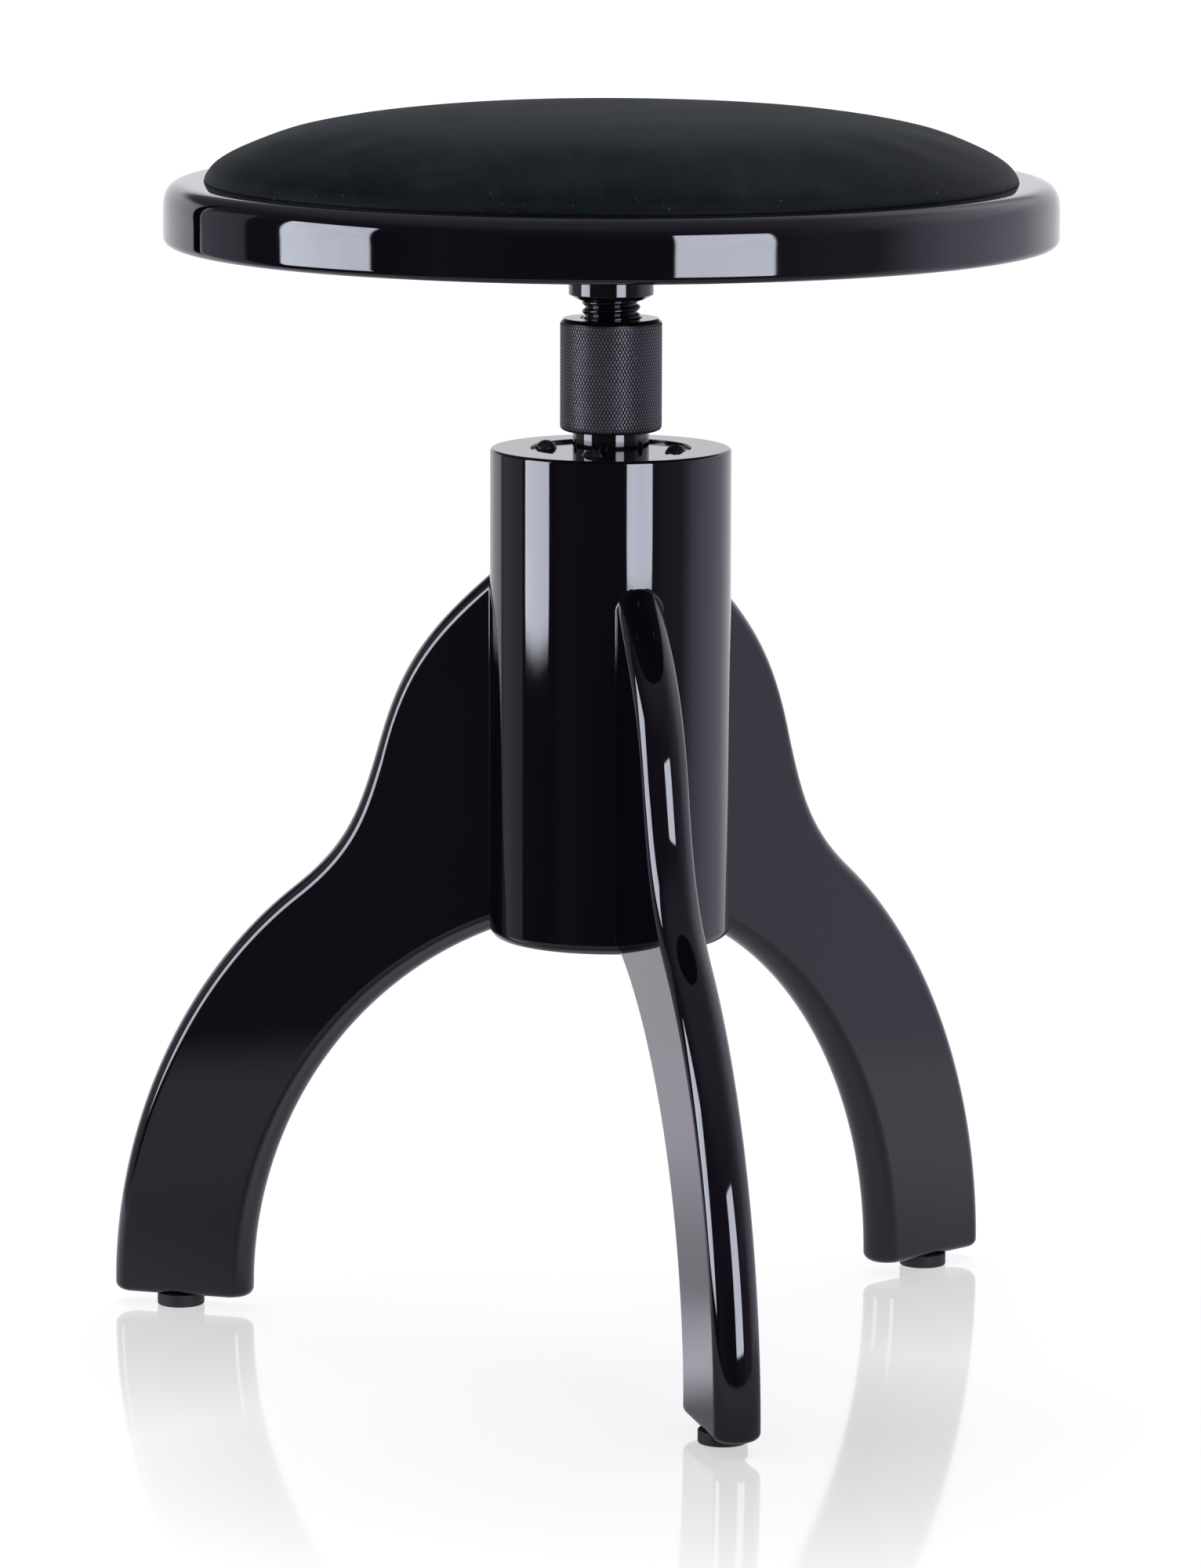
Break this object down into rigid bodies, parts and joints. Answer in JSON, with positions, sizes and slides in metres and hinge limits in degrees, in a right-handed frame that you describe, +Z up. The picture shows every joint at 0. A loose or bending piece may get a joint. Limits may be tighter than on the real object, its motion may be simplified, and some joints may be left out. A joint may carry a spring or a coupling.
{
  "type": "piano stool",
  "caption": "Round upholstered piano stool on a turned column with S-shaped board legs; the seat turns on a screw spindle to set its height, and a knurled sleeve locks it.",
  "frame": {"origin": "on the column's axis, in the plane of the foot pads' undersides", "axes": "+Z up along the column's axis; the front leg points along -Y, the other two to +Y on the +X and -X sides"},
  "size_m": [0.3642, 0.3833, 0.49],
  "materials": {
    "lacquered_wood": "gloss",
    "bare_wood": "matte",
    "black_steel": "gloss",
    "black_screws": "satin",
    "knurled_steel": "satin",
    "zinc_steel": "satin",
    "foot_rubber": "matte",
    "padding": "matte",
    "velour": "matte"
  },
  "bodies": {
    "base": {"column": "lacquered_wood", "front_leg": "lacquered_wood", "right_leg": "lacquered_wood", "left_leg": "lacquered_wood", "leg_dowels": "bare_wood", "front_foot": "foot_rubber", "right_foot": "foot_rubber", "left_foot": "foot_rubber", "foot_pins": "zinc_steel", "guide_tube": "black_steel", "spindle_nut": "zinc_steel", "tube_flange": "black_steel", "flange_screws": "black_screws"},
    "lock_lift": {"clamp_ring": "zinc_steel"},
    "lock": {"lock_sleeve": "knurled_steel"},
    "seat_lift": {"stop_washer": "zinc_steel"},
    "seat": {"stop_screw": "zinc_steel", "spindle": "black_steel", "spindle_hub": "black_steel", "seat_plate": "black_steel", "plate_screws": "zinc_steel", "seat_base": "lacquered_wood", "cushion_screws": "zinc_steel", "cushion_board": "bare_wood", "cushion_foam": "padding", "cushion_cover": "velour"}
  },
  "joints": [
    {"name": "seat_height", "type": "slide", "parent": "base", "child": "seat_lift", "axis": [0, 0, 1], "range_m": [0, 0.099]},
    {"name": "seat_turn", "type": "hinge", "parent": "seat_lift", "child": "seat", "pos_m": [0, 0, 0.434], "axis": [0, 0, 1], "range_deg": [0, 10800]},
    {"name": "sleeve_height", "type": "slide", "parent": "base", "child": "lock_lift", "axis": [0, 0, 1], "range_m": [0, 0.00495]},
    {"name": "sleeve_turn", "type": "hinge", "parent": "lock_lift", "child": "lock", "pos_m": [0, 0, 0.386], "axis": [0, 0, 1], "range_deg": [0, 540]}
  ],
  "couplings": [
    {"joint": "seat_height", "follows": "seat_turn", "m_per_rad": 0.00052521},
    {"joint": "sleeve_height", "follows": "sleeve_turn", "m_per_rad": 0.00052521}
  ]
}
